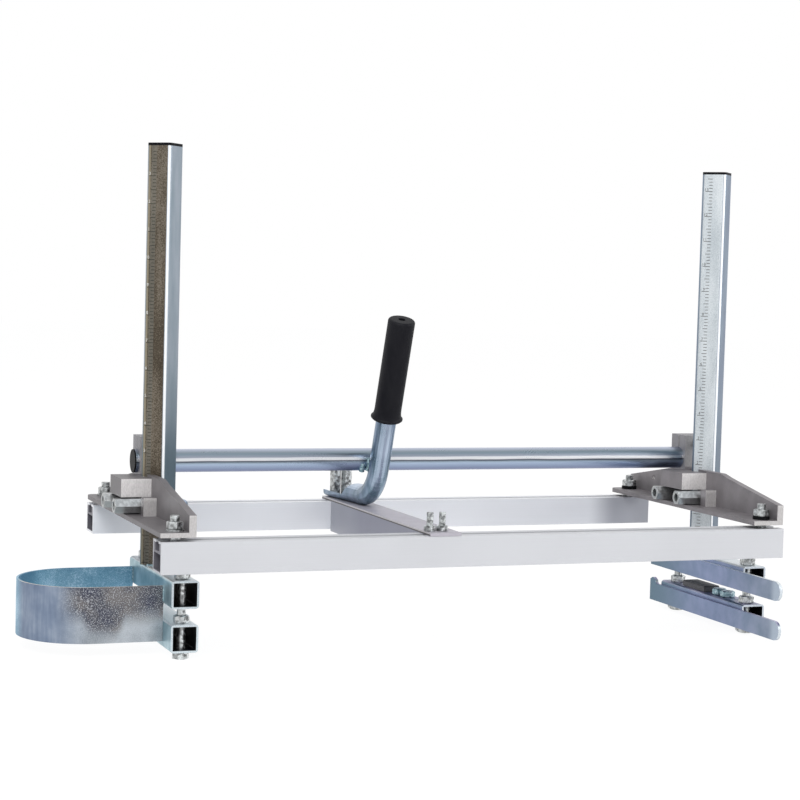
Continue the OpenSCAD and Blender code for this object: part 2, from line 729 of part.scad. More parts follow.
module jaw_lock_nuts_right() { jaw_lock_nuts(1, right_bolts(), right_low_top); }
module jaw_nut_left_front() { jaw_nut(0, left_bolts()[0], left_drop); }
module jaw_nut_left_rear() { jaw_nut(0, left_bolts()[1], left_drop); }
module jaw_nut_right_front() { jaw_nut(1, right_bolts()[0], right_drop); }
module jaw_nut_right_rear() { jaw_nut(1, right_bolts()[1], right_drop); }

rail_front();
rail_rear();
centre_brace();
brace_bolts();
brace_nuts();
brace_foot_nuts();
handle_tube();
handle_grip();
cross_tube();
cross_tube_plugs();
bracket_left();
bracket_bolts_left();
bracket_washers_left();
bracket_nuts_left();
u_bolt_left();
lock_washers_left();
tube_clamp_left();
seat_screw_left();
pinch_screw_left();
lock_nut_left_front();
lock_nut_left_rear();
post_left();
post_cap_left();
upper_jaw_left();
nose_guard();
lower_jaw_left();
jaw_bolts_left();
jaw_washers_left();
jaw_lock_nuts_left();
jaw_nut_left_front();
jaw_nut_left_rear();
bracket_right();
bracket_bolts_right();
bracket_washers_right();
bracket_nuts_right();
u_bolt_right();
lock_washers_right();
tube_clamp_right();
seat_screw_right();
pinch_screw_right();
lock_nut_right_front();
lock_nut_right_rear();
post_right();
post_cap_right();
upper_jaw_right();
upper_bar_right();
lower_jaw_right();
lower_bar_right();
jaw_bolts_right();
jaw_lock_nuts_right();
jaw_nut_right_front();
jaw_nut_right_rear();
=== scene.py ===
"""Dresses the packed chainsaw mill: finishes, nuts, a jaw plate, threads, welds, scales and a studio."""

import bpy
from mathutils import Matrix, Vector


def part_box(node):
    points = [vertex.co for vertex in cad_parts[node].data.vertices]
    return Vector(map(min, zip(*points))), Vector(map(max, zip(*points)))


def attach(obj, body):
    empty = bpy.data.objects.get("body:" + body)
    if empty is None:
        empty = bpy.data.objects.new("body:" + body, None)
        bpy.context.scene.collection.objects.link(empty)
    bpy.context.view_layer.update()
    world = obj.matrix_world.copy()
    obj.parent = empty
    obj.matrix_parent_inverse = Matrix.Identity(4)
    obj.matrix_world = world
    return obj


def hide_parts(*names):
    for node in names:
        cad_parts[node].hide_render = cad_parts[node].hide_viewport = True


bl_info = {
    "name": "Chainsaw Mill",
    "version": (1, 0, 0),
    "blender": (4, 5, 0),
    "location": "3D View > Sidebar > Mill",
    "description": "Finishes, nuts, threads, welds and scales for a chainsaw mill",
    "category": "Add Mesh",
}

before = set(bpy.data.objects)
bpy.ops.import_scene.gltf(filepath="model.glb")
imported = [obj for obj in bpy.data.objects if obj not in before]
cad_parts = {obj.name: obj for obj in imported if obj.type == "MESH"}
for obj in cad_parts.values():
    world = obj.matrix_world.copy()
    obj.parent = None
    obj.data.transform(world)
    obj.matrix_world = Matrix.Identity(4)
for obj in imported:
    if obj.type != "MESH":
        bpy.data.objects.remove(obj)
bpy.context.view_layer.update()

import math

import bmesh
import bpy
from mathutils import Matrix, Vector

MM = 0.001
SIDES = ("left", "right")
RAIL_LOW, RAIL_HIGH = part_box("rail_front")
ORIGIN = Vector((RAIL_LOW.x, RAIL_LOW.y, RAIL_HIGH.z))
RAIL_W = RAIL_HIGH.z - RAIL_LOW.z
DIAGONAL = 0.7071  # sine and cosine of a post's turn
WHITE = (1.0, 1.0, 1.0)


def place(x, y, z):
    """A point given in millimetres from the front rail's top left front corner."""
    return ORIGIN + Vector((x, y, z)) * MM


def middle(node):
    """Middle of a CAD node's box."""
    low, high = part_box(node)
    return (low + high) / 2


# Node building


class Wire:
    """A socket that can stand in a sum. Each operator adds the Math node that works it out."""

    def __init__(self, net, socket):
        self.net, self.socket = net, socket

    def _math(self, operation, *values):
        return self.net.add("ShaderNodeMath", {"operation": operation}, dict(enumerate(values)))[0]

    def __add__(self, other):
        return self._math("ADD", self, other)

    __radd__ = __add__

    def __sub__(self, other):
        return self._math("SUBTRACT", self, other)

    def __rsub__(self, other):
        return self._math("SUBTRACT", other, self)

    def __mul__(self, other):
        return self._math("MULTIPLY", self, other)

    __rmul__ = __mul__

    def __truediv__(self, other):
        return self._math("DIVIDE", self, other)

    def __mod__(self, other):
        return self._math("MODULO", self, other)

    def __gt__(self, other):
        return self._math("GREATER_THAN", self, other)

    def __lt__(self, other):
        return self._math("LESS_THAN", self, other)

    def above(self, low, high):
        """0 at low, 1 at high, and smooth between them."""
        values = {"Value": self, "From Min": low, "From Max": high}
        return self.net.add("ShaderNodeMapRange", {"interpolation_type": "SMOOTHSTEP"}, values)["Result"]

    def near(self, centre, half):
        """1 where the wire is within half of the centre, and 0 elsewhere."""
        off = self - centre
        return (off * off) < half * half


class Node:
    """A node whose outputs are read as wires, by name or place."""

    def __init__(self, net, node):
        self.net, self.node = net, node

    def __getitem__(self, key):
        return Wire(self.net, self.node.outputs[key])


class Net:
    """Adds nodes to one tree."""

    def __init__(self, tree):
        self.tree = tree

    def add(self, kind, settings=None, values=None):
        """A node of a type, with its settings made first and then its sockets set or linked."""
        node = self.tree.nodes.new(kind)
        for name, value in (settings or {}).items():
            if name == "stops":
                self._stops(node.color_ramp, value)
            else:
                setattr(node, name, value)
        for key, value in (values or {}).items():
            if isinstance(value, Wire):
                self.tree.links.new(value.socket, node.inputs[key])
            else:
                node.inputs[key].default_value = value
        return Node(self, node)

    @staticmethod
    def _stops(ramp, stops):
        while len(ramp.elements) < len(stops):
            ramp.elements.new(0.5)
        for element, (position, colour) in zip(ramp.elements, stops):
            element.position, element.color = position, (*colour, 1.0)

    def ramp(self, factor, *stops):
        return self.add("ShaderNodeValToRGB", {"stops": stops}, {"Fac": factor})["Color"]

    def blend(self, factor, first, second, kind="MIX"):
        """Colour first where factor is 0 and second where it is 1."""
        settings = {"data_type": "RGBA", "blend_type": kind, "clamp_factor": True}
        values = {0: factor, 6: self._colour(first), 7: self._colour(second)}
        return self.add("ShaderNodeMix", settings, values)[2]

    @staticmethod
    def _colour(value):
        return value if isinstance(value, Wire) else (*value, 1.0)

    def noise(self, where, scale, detail=2.0, roughness=0.5):
        values = {"Vector": where, "Scale": scale, "Detail": detail, "Roughness": roughness}
        return self.add("ShaderNodeTexNoise", {}, values)["Fac"]

    def stretched(self, where, scale):
        return self.add("ShaderNodeMapping", {}, {"Vector": where, "Scale": scale})["Vector"]

    def split(self, vector):
        xyz = self.add("ShaderNodeSeparateXYZ", {}, {"Vector": vector})
        return xyz["X"], xyz["Y"], xyz["Z"]


# Finishes


class Finish(Net):
    """The node tree of one material, with its object coordinates at hand."""

    def __init__(self, name):
        self.material = bpy.data.materials.new(name)
        self.material.use_nodes = True
        super().__init__(self.material.node_tree)
        self.tree.nodes.clear()
        coordinates = self.add("ShaderNodeTexCoord")
        self.where, self.facing = coordinates["Object"], coordinates["Normal"]

    def close(
        self, colour, roughness, metallic, height=None, depth=0.0002, strength=0.5, edge=0.0004, **fixed
    ):
        """Ends the tree in a shader with rounded edges. A height wire becomes a bump."""
        normal = self.add("ShaderNodeBevel", {"samples": 4}, {"Radius": edge})["Normal"]
        if height is not None:
            values = {"Height": height, "Distance": depth, "Strength": strength, "Normal": normal}
            normal = self.add("ShaderNodeBump", {}, values)["Normal"]
        values = {"Base Color": self._colour(colour), "Roughness": roughness, "Metallic": metallic,
                  "Normal": normal}
        values.update({key.replace("_", " "): value for key, value in fixed.items()})
        shader = self.add("ShaderNodeBsdfPrincipled", {}, values)["BSDF"]
        self.add("ShaderNodeOutputMaterial", {}, {"Surface": shader})
        return self.material


def once(build):
    """Keeps the material that a finish function makes, so that pieces share it."""
    kept = {}

    def finish(*values):
        if values not in kept:
            kept[values] = build(*values)
        return kept[values]

    finish.__doc__ = build.__doc__
    return finish


def finishes():
    return bpy.context.scene.mill_finishes


def scaled(colour, *shares):
    """A colour times one share, or times a share for each channel."""
    shares = shares * 3 if len(shares) == 1 else shares
    return tuple(c * share for c, share in zip(colour, shares))


def plated(f, colour, cloud):
    """Closes a plated tube's tree, with faint draw lines and tiny pits."""
    lines = f.noise(f.stretched(f.where, (40.0, 900.0, 900.0)), 1.0, 2.0)
    pits = f.noise(f.where, 1500.0, 1.0)
    return f.close(colour, 0.20 + 0.14 * cloud + 0.05 * pits, 1.0, lines * 0.6 + pits * 0.4, 0.00005, 0.3)


@once
def cross_zinc():
    """Blue zinc plate of the level tube, in the bands that its polished skin shows round the tube."""
    f = Finish("cross tube zinc")
    tint = tuple(finishes().zinc)
    cloud = f.noise(f.stretched(f.where, (14.0, 60.0, 60.0)), 1.0, 3.0)
    _, _, nz = f.split(f.facing)
    # Each painted reflection band: its height, and its share of the tint's red, green and blue
    reflection_bands = (
        ((0.10, 0.34, 0.36, 0.51), (0.22, 0.50, 0.55, 0.70), (0.36, 0.68, 0.75, 0.89),
         (0.43, 0.62, 0.69, 0.74), (0.46, 0.22, 0.22, 0.26), (0.495, 0.24, 0.24, 0.27)),
        ((0.66, 0.70, 0.67, 0.71), (0.80, 0.50, 0.57, 0.60), (0.87, 0.52, 0.55, 0.57),
         (0.93, 0.66, 0.66, 0.73), (0.985, 0.83, 0.81, 0.90)),
    )
    below, above = ([(at, scaled(tint, *shares)) for at, *shares in part] for part in reflection_bands)
    height = nz * 0.5 + 0.5 + (cloud - 0.5) * 0.07
    # Painted highlight: the white band just above the middle, with a painted dark line just below it
    colour = f.ramp(height, *below, (0.535, WHITE), (0.625, WHITE), *above)
    return plated(f, colour, cloud)


@once
def zinc_plate():
    """Blue zinc plate of the handle and U-bolts: pale in front, slate at the sides, teal below."""
    f = Finish("zinc plate")
    tint = tuple(finishes().zinc)
    cloud = f.noise(f.stretched(f.where, (90.0, 90.0, 22.0)), 1.0, 3.0)
    nx, ny, nz = f.split(f.facing)
    # Painted reflections by facing: pale painted sheen on faces turned to the front and up, painted shade at
    # the sides, a painted teal reflection on faces turned down
    front = (nx * -0.25 + ny * -0.97 + (cloud - 0.5) * 0.12).above(0.60, 0.94)

    def tone(dark, light):
        return f.ramp(cloud, (0.38, scaled(tint, *dark)), (0.62, scaled(tint, *light)))

    painted_sheen = tone((0.66, 0.72, 0.82), (0.88, 0.92, 1.02))
    painted_side_shade = tone((0.20, 0.27, 0.33), (0.36, 0.42, 0.52))
    painted_under_reflection = tone((0.30, 0.42, 0.46), (0.56, 0.66, 0.74))
    colour = f.blend(front, painted_side_shade, painted_sheen)
    colour = f.blend((nz * -1.0).above(0.30, 0.95), colour, painted_under_reflection)
    colour = f.blend(nz.above(0.35, 0.75), colour, painted_sheen)
    return plated(f, colour, cloud)


@once
def bright_zinc(name="bright zinc", contrast=1.25, share=1.0):
    """Bright zinc of the nuts and screws, with small dark and light marks. The share is for lit faces."""
    f = Finish(name)
    mark = f.noise(f.where, 330.0, 3.0)
    nx, ny, nz = f.split(f.facing)
    tint = tuple(finishes().bright)
    mean, shade = 0.76, 0.72
    # Painted light: lit and shaded copies of the colour, each speckled with painted glints and dark spots
    lit = f.ramp(mark, (0.38, scaled(tint, (mean - 0.40 * contrast) * share)),
                 (0.49, scaled(tint, mean * share)),
                 (0.60, scaled(tint, (mean + 0.64 * contrast) * share)))
    shaded = f.ramp(mark, (0.36, scaled(tint, shade - 0.26 * contrast)),
                    (0.60, scaled(tint, shade + 0.26 * contrast)))
    # Faces turned up, to the right and to the front take the painted lit colour, the others the painted shade
    colour = f.blend((nx * 0.5 + nz * 0.7 - ny * 0.35).above(0.05, 0.45), shaded, lit)
    return f.close(colour, 0.24 + 0.12 * mark, 0.85, mark, 0.00003, 0.2, 0.0003)


@once
def sheet_zinc():
    """Rolled sheet of the nose guard: smooth at the bend, granular on the front leg, teal inside."""
    f = Finish("guard sheet zinc")
    low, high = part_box("nose_guard")
    centre_y = middle("nose_guard").y
    x, y, z = f.split(f.where)
    _, _, nz = f.split(f.facing)
    along = (x - low.x) / (high.x - low.x)
    up = (z - low.z) / (high.z - low.z)
    inside = y.above(centre_y - 20 * MM, centre_y + 5 * MM)
    cloud = f.noise(f.where, 45.0, 3.0)
    grain = f.noise(f.where, 1150.0, 2.0, 0.6)
    streak = f.noise(f.stretched(f.where, (260.0, 260.0, 30.0)), 1.0, 3.0)
    smooth = f.ramp(cloud * 0.6 + streak * 0.4, (0.36, (0.14, 0.185, 0.275)),
                    (0.50, (0.20, 0.255, 0.355)), (0.64, (0.29, 0.345, 0.44)))
    low_light = f.ramp(grain * 0.4 + cloud * 0.6, (0.38, (0.27, 0.30, 0.33)), (0.62, (0.52, 0.56, 0.60)))
    rough = f.ramp(cloud * 0.75 + grain * 0.25, (0.40, (0.040, 0.047, 0.085)),
                   (0.50, (0.080, 0.083, 0.102)), (0.60, (0.165, 0.155, 0.155)))
    speck = f.noise(f.where, 950.0, 1.0).above(0.50, 0.66)
    rough = f.blend(speck * 0.62, rough, (0.58, 0.60, 0.64))
    # The rough patch reaches lowest a little past the middle of the leg
    off = along - 0.55
    fade = (off * off).above(0.004, 0.030) * 0.30
    patch = along.above(0.20, 0.38) * (up - fade + 0.45 * (cloud - 0.5)).above(0.0, 0.36)
    outside = f.blend(patch, f.blend(along.above(0.15, 0.5), smooth, low_light), rough)
    # Painted highlight: faces turned up, such as the top rim, are pale beige
    outside = f.blend(nz.above(0.6, 0.8), outside, (0.60, 0.58, 0.52))
    teal = f.ramp(cloud * 0.45 + grain * 0.55, (0.40, (0.13, 0.30, 0.44)),
                  (0.52, (0.22, 0.43, 0.58)), (0.62, (0.44, 0.65, 0.80)))
    colour = f.blend(inside, outside, teal)
    return f.close(colour, 0.36 + 0.14 * grain, 0.6, grain, 0.00006, 0.3)


@once
def post_zinc(side):
    """Plate on the posts, warm and grained on the left scale face, cold on the others."""
    f = Finish(side + " post zinc")
    nx, ny, _ = f.split(f.facing)
    # Painted reflections: the scale face, turned to the front left, gets its own colour, and the other faces
    # another
    scale_face = (nx * -DIAGONAL + ny * -DIAGONAL).above(0.90, 0.96)
    front_corner_highlight = (ny * -1.0).above(0.93, 0.985)
    grain = f.noise(f.where, 1100.0, 2.0, 0.6)
    cloud = f.noise(f.stretched(f.where, (60.0, 60.0, 14.0)), 1.0, 3.0)
    x, y, z = f.split(f.where)
    centre = middle("post_" + side)
    across = ((x - centre.x) - (y - centre.y)) * DIAGONAL
    up = z - ORIGIN.z
    if side == "left":
        scale = f.ramp(grain * 0.6 + cloud * 0.4, (0.38, (0.045, 0.034, 0.021)),
                       (0.50, (0.085, 0.066, 0.044)), (0.62, (0.21, 0.18, 0.14)))
        # A light column behind the ticks, and along the left edge a painted highlight strip on the rounded
        # corner and a painted shade strip beyond it
        scale = f.blend(across.near(-4.0 * MM, 2.7 * MM) * 0.5, scale, (0.19, 0.185, 0.155))
        scale = f.blend(across.above(-8.2 * MM, -7.2 * MM), (0.28, 0.245, 0.175), scale)
        scale = f.blend(across.above(-12.2 * MM, -11.4 * MM), (0.05, 0.05, 0.05), scale)
        other = f.ramp(cloud, (0.35, (0.225, 0.28, 0.325)), (0.65, (0.33, 0.37, 0.425)))
        # Painted shade on the other faces, low down near the rails
        other = f.blend(up.above(45 * MM, 150 * MM), (0.10, 0.145, 0.175), other)
    else:
        scale = f.ramp(grain * 0.5 + cloud * 0.5, (0.38, (0.46, 0.51, 0.54)), (0.60, (0.70, 0.74, 0.76)))
        other = f.ramp(cloud, (0.35, (0.18, 0.225, 0.305)), (0.65, (0.235, 0.30, 0.373)))
        # Painted shade on the other faces, low down near the rails
        other = f.blend(up.above(45 * MM, 130 * MM), (0.135, 0.18, 0.24), other)
    colour = f.blend(scale_face, other, scale)
    # Painted highlight on the rounded front corner
    colour = f.blend(front_corner_highlight, colour, (0.93, 0.95, 0.97))
    return f.close(colour, 0.36 + 0.2 * grain, 0.55, grain, 0.00010, 0.35)


@once
def jaw_zinc(side):
    """Plate on the jaw tubes and side bars, teal on the left and lavender on the right."""
    f = Finish(side + " jaw zinc")
    _, ny, nz = f.split(f.facing)
    x, y, z = f.split(f.where)
    cloud = f.noise(f.where, 55.0, 3.0)
    grain = f.noise(f.where, 1000.0, 2.0, 0.6)
    if side == "left":
        flank = f.ramp(cloud, (0.35, (0.26, 0.42, 0.48)), (0.65, (0.50, 0.66, 0.72)))
    else:
        flank = f.ramp(cloud, (0.35, (0.18, 0.24, 0.38)), (0.65, (0.25, 0.30, 0.47)))
        bar_low, bar_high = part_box("lower_bar_right")
        along = (y - bar_low.y) / (bar_high.y - bar_low.y)
        warm = f.blend(1.0, flank, (1.02, 1.0, 0.84), "MULTIPLY")
        flank = f.blend(along.above(0.0, 0.45), warm, flank)
        flank = f.blend(along.above(0.55, 1.0), flank, (0.11, 0.185, 0.25))
        flank = f.blend(along.above(0.03, 0.075), (0.40, 0.47, 0.56), flank)
    # The pale colour is a painted highlight on faces turned up, and the colour of the front cut ends
    light = f.ramp(grain, (0.40, (0.62, 0.68, 0.72)), (0.60, (0.86, 0.90, 0.92)))
    cut_end = (ny * -1.0).above(0.5, 0.8) * 0.75
    top = nz.above(0.4, 0.8)
    colour = f.blend(top, f.blend(cut_end, flank, light), light)
    if side == "right":
        stripe = f.noise(f.stretched(f.where, (300.0, 25.0, 300.0)), 1.0, 3.0)
        violet = f.ramp(stripe, (0.40, (0.07, 0.12, 0.19)), (0.50, (0.21, 0.20, 0.34)),
                        (0.60, (0.42, 0.42, 0.56)))
        lower = (middle("lower_jaw_right").z + 15 * MM - z) > 0.0
        colour = f.blend(top * lower, colour, violet)
    # Painted shade: near black inside the hollow tubes
    inside, wall = 0.0, 1.9 * MM
    for node in ("upper_jaw_" + side, "lower_jaw_" + side):
        centre = middle(node)
        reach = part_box(node)[1].z - centre.z - wall
        inside = inside + x.near(centre.x, reach) * z.near(centre.z, reach)
    colour = f.blend(inside, colour, (0.010, 0.011, 0.017))
    return f.close(colour, 0.30 + 0.15 * grain, 0.65, grain, 0.00008, 0.3)


@once
def rail_alloy(name, share, node):
    """Matt anodised rail with faint drawing lines along it, darker inside its walls."""
    f = Finish(name)
    tint = scaled(finishes().rail, share)
    lines = f.noise(f.stretched(f.where, (3.0, 1400.0, 1400.0)), 1.0, 2.0)
    cloud = f.noise(f.where, 9.0, 2.0)
    colour = f.ramp(cloud * 0.7 + lines * 0.3, (0.36, scaled(tint, 0.95)), (0.62, tint))
    x, y, z = f.split(f.where)
    _, ny, _ = f.split(f.facing)
    if node == "rail_rear":
        # Painted shadow of the bracket: darker at the right end of the front face, where the bracket stands
        # over it
        end = (x - ORIGIN.x).above(535 * MM, 572 * MM) * (ny * -1.0).above(0.6, 0.9)
        colour = f.blend(end, colour, (0.42, 0.43, 0.475))
    # Painted shade inside the walls, in the slot and the hollow
    centre, wall = middle(node), 2 * MM
    reach = RAIL_W / 2 - wall
    inside = y.near(centre.y, reach) * z.near(centre.z, reach)
    colour = f.blend(inside, colour, (0.17, 0.165, 0.19))
    return f.close(colour, 0.42 + 0.08 * lines, 0.25, lines, 0.00003, 0.3, 0.0003)


@once
def sawn_alloy(name, face, cut):
    """Alloy of the brackets and blocks: one tone on the rolled faces, speckled where sawn, palest high up."""
    f = Finish(name)
    _, ny, _ = f.split(f.facing)
    _, _, z = f.split(f.where)
    sawn = (ny * -1.0).above(0.6, 0.8)
    speck = f.noise(f.stretched(f.where, (900.0, 900.0, 420.0)), 1.0, 3.0)
    cloud = f.noise(f.where, 60.0, 4.0)

    def tone(factor, colour, dark, light):
        return f.ramp(factor, (0.35, scaled(colour, dark)), (0.65, scaled(colour, light)))

    # Painted light: sawn faces high up are painted paler, making up for the shade that falls lower down
    high = (z - ORIGIN.z).above(20 * MM, 26 * MM)
    sawn_tone = f.blend(high, tone(speck, cut, 0.76, 0.92), tone(speck, cut, 1.12, 1.34))
    colour = f.blend(sawn, tone(cloud, face, 0.86, 1.08), sawn_tone)
    return f.close(colour, 0.42 + 0.12 * cloud, 0.35, speck, 0.00005, 0.3)


@once
def brace_alloy():
    """Alloy of the centre brace: lavender flanges and a web that darkens to the front."""
    f = Finish("brace alloy")
    nx, _, _ = f.split(f.facing)
    low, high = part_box("centre_brace")
    _, y, z = f.split(f.where)
    cloud = f.noise(f.where, 60.0, 4.0)
    flange = f.ramp(cloud, (0.35, (0.44, 0.42, 0.47)), (0.65, (0.50, 0.48, 0.53)))
    along = (y - low.y) / (high.y - low.y)
    web = f.ramp(along + (cloud - 0.5) * 0.1, (0.60, (0.29, 0.295, 0.36)), (0.92, (0.44, 0.45, 0.50)))
    # A painted highlight line and then a painted shadow line, under the flange's edge, run along the web's
    # top edge
    drop = high.z - z
    line = f.blend(drop > 1.3 * MM, (0.58, 0.56, 0.57), (0.11, 0.10, 0.10))
    web = f.blend(drop < 2.5 * MM, web, line)
    colour = f.blend((nx * -1.0).above(0.6, 0.8), flange, web)
    return f.close(colour, 0.42 + 0.12 * cloud, 0.35, cloud, 0.00003, 0.3)


@once
def grip_rubber():
    """Soft black rubber with a fine mould grain and a dusty bloom."""
    f = Finish("grip rubber")
    grain = f.noise(f.where, 1800.0, 2.0)
    cloud = f.noise(f.stretched(f.where, (120.0, 120.0, 25.0)), 1.0, 2.0)
    tint = tuple(finishes().rubber)
    # Lighter vertical streaks: dust, and a painted sheen
    dust_and_sheen = tuple(c + 0.006 for c in tint)
    colour = f.ramp(cloud, (0.3, tint), (0.8, dust_and_sheen))
    return f.close(colour, 0.46 + 0.12 * cloud, 0.0, grain, 0.00006, 0.3, 0.0008, Specular_IOR_Level=0.13)


@once
def black_plastic():
    """Black caps, plugs and washers with a light mould texture."""
    f = Finish("black plastic")
    grain = f.noise(f.where, 900.0, 2.0)
    colour = f.ramp(grain, (0.3, (0.0045, 0.0045, 0.0054)), (0.7, (0.0135, 0.0135, 0.0153)))
    return f.close(colour, 0.38 + 0.1 * grain, 0.0, grain, 0.00006, 0.4, Specular_IOR_Level=0.05)


@once
def stamped_mark(name, dark, light):
    """Bottom of a stamped scale mark or number."""
    f = Finish(name)
    grain = f.noise(f.where, 1400.0, 2.0)
    colour = f.ramp(grain, (0.3, dark), (0.7, light))
    return f.close(colour, 0.45 + 0.2 * grain, 0.3, grain, 0.00003, 0.4, 0.0001)


@once
def weld_metal():
    """Plated weld bead, teal grey with dark hollows."""
    f = Finish("weld metal")
    grain = f.noise(f.where, 500.0, 3.0)
    colour = f.ramp(grain, (0.35, (0.14, 0.24, 0.28)), (0.55, (0.34, 0.48, 0.53)), (0.7, (0.70, 0.80, 0.84)))
    return f.close(colour, 0.26 + 0.2 * grain, 0.8, grain, 0.0002, 0.6)


# Meshes


# Angles above which an edge stays sharp
SMOOTH, NUT_SMOOTH = 0.6, 0.35


def new_object(name, data):
    piece = bpy.data.objects.new(name, data)
    bpy.context.scene.collection.objects.link(piece)
    return piece


def shown_mesh(piece):
    """A plain mesh of what an object shows."""
    depsgraph = bpy.context.evaluated_depsgraph_get()
    return bpy.data.meshes.new_from_object(piece.evaluated_get(depsgraph))


def finished(piece, body, slot, *nodes):
    """Gives a piece its body, its material slot and the CAD nodes that it stands for."""
    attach(piece, body)
    if nodes:
        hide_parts(*nodes)


def smoothed(mesh, angle=SMOOTH):
    """Makes a mesh's faces smooth between edges sharper than the angle."""
    mesh.polygons.foreach_set("use_smooth", [True] * len(mesh.polygons))
    mesh.set_sharp_from_angle(angle=angle)


def mesh_of(name, bm, material, angle=SMOOTH):
    """Closes a bmesh into a smoothed object."""
    bmesh.ops.recalc_face_normals(bm, faces=bm.faces)
    mesh = bpy.data.meshes.new(name)
    bm.to_mesh(mesh)
    bm.free()
    smoothed(mesh, angle)
    mesh.materials.append(material)
    return new_object(name, mesh)


def join_rings(bm, rings):
    """Faces between each ring of points and the next one, and from the last to the first."""
    rows = [[bm.verts.new(point) for point in ring] for ring in rings]
    for low, high in zip(rows, rows[1:] + rows[:1]):
        for k, following in enumerate((*range(1, len(low)), 0)):
            bm.faces.new((low[k], low[following], high[following], high[k]))


def nut_rings(across, height, bore, segments=48):
    """Rings of a hexagon nut with both rims chamfered at 30 degrees, round its own axis."""
    face_r = 0.47 * across
    lip = 0.09 * across
    sixth, half_sixth = math.pi / 3, math.pi / 6
    slope = math.tan(math.radians(30))
    angles = [math.tau * k / segments for k in range(segments)]

    def circle(radius, z):
        return [Vector((radius * math.cos(a), radius * math.sin(a), z)) for a in angles]

    def hexagon(top):
        ring = []
        for a in angles:
            radius = across / 2 / math.cos((a + half_sixth) % sixth - half_sixth)
            drop = (radius - face_r) * slope
            ring.append(Vector((radius * math.cos(a), radius * math.sin(a), height - drop if top else drop)))
        return ring

    low_rim = [circle(bore, lip / 2), circle(bore + lip / 2, 0), circle(face_r, 0)]
    high_rim = [circle(face_r, height), circle(bore + lip / 2, height), circle(bore, height - lip / 2)]
    return [*low_rim, hexagon(False), hexagon(True), *high_rim]


def centres(node, across, axis):
    """Centres of one nut, or of two alike, in a CAD node, and their height along the axis."""
    low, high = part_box(node)
    centre, size = middle(node), high - low
    spread = max((k for k in range(3) if k != axis), key=lambda k: size[k])
    if size[spread] < 2 * across:
        return [centre], size[axis]
    points = []
    for end in (low[spread] + across / 2, high[spread] - across / 2):
        point = centre.copy()
        point[spread] = end
        points.append(point)
    return points, size[axis]


def nuts(name, node, body, across, bore, axis=2, turn=0.0, material=None):
    """Chamfered nuts in the place of a CAD node's plain ones."""
    points, height = centres(node, across, axis)
    upright = Matrix.Rotation(math.radians(90 if axis == 0 else 0), 4, "Y")
    sink = Vector((0, 0, height / 2))
    bm = bmesh.new()
    for point in points:
        spot = Matrix.Translation(point) @ upright @ Matrix.Rotation(turn, 4, "Z")
        rings = [[spot @ (p - sink) for p in ring] for ring in nut_rings(across, height, bore)]
        join_rings(bm, rings)
    finished(mesh_of(name, bm, material or bright_zinc(), NUT_SMOOTH), body, "zinc", node)


# Geometry node trees


class Shape(Net):
    """A geometry node tree with named inputs."""

    def __init__(self, name):
        super().__init__(bpy.data.node_groups.new(name, "GeometryNodeTree"))
        for way in ("INPUT", "OUTPUT"):
            self.tree.interface.new_socket("Geometry", in_out=way, socket_type="NodeSocketGeometry")
        self.entry = self.tree.nodes.new("NodeGroupInput")

    def input(self, name, default, kind):
        socket = self.tree.interface.new_socket(name, in_out="INPUT", socket_type="NodeSocket" + kind)
        if default is not None:
            socket.default_value = default
        return Wire(self, self.entry.outputs[name])

    def inputs(self, **defaults):
        """A wire for each number that the modifier gives. A whole default makes a whole number."""
        kinds = {int: "Int", float: "Float"}
        return [self.input(name.title(), value, kinds[type(value)]) for name, value in defaults.items()]

    def geometry(self):
        return Wire(self, self.entry.outputs["Geometry"])

    def close(self, geometry):
        """Ends the tree in real geometry with its material."""
        material = self.input("Material", None, "Material")
        real = self.add("GeometryNodeRealizeInstances", {}, {"Geometry": geometry})[0]
        painted = self.add("GeometryNodeSetMaterial", {}, {"Geometry": real, "Material": material})[0]
        self.add("NodeGroupOutput", {}, {"Geometry": painted})
        return self.tree


def grown(name, mesh, tree, **values):
    """Runs a tree on a mesh and keeps the result as a plain mesh."""
    piece = new_object(name, mesh)
    modifier = piece.modifiers.new(tree.name, "NODES")
    modifier.node_group = tree
    for item in tree.interface.items_tree:
        key = item.name.lower()
        if item.in_out == "INPUT" and key in values:
            modifier[item.identifier] = values[key]
    result = shown_mesh(piece)
    piece.modifiers.clear()
    piece.data = result
    result.name = name
    smoothed(result)
    return piece


def point_mesh(name, points, edges=()):
    mesh = bpy.data.meshes.new(name)
    mesh.from_pydata([tuple(p) for p in points], list(edges), [])
    return mesh


@once
def thread_tree():
    """A helical ridge on each point of the mesh, turned up from it along Z."""
    shape = Shape("screw thread")
    radius, pitch, length, depth = shape.inputs(radius=0.004, pitch=0.00125, length=0.01, depth=0.0003)
    values = {"Resolution": 24, "Rotations": length / pitch, "Start Radius": radius,
              "End Radius": radius, "Height": length}
    spiral = shape.add("GeometryNodeCurveSpiral", {}, values)[0]
    spiral = shape.add("GeometryNodeSetCurveNormal", {"mode": "Z_UP"}, {"Curve": spiral})[0]
    ridge = shape.add("GeometryNodeCurvePrimitiveCircle", {}, {"Resolution": 4, "Radius": depth})[0]
    values = {"Curve": spiral, "Profile Curve": ridge, "Fill Caps": True}
    thread = shape.add("GeometryNodeCurveToMesh", {}, values)[0]
    values = {"Points": shape.geometry(), "Instance": thread}
    return shape.close(shape.add("GeometryNodeInstanceOnPoints", {}, values)[0])


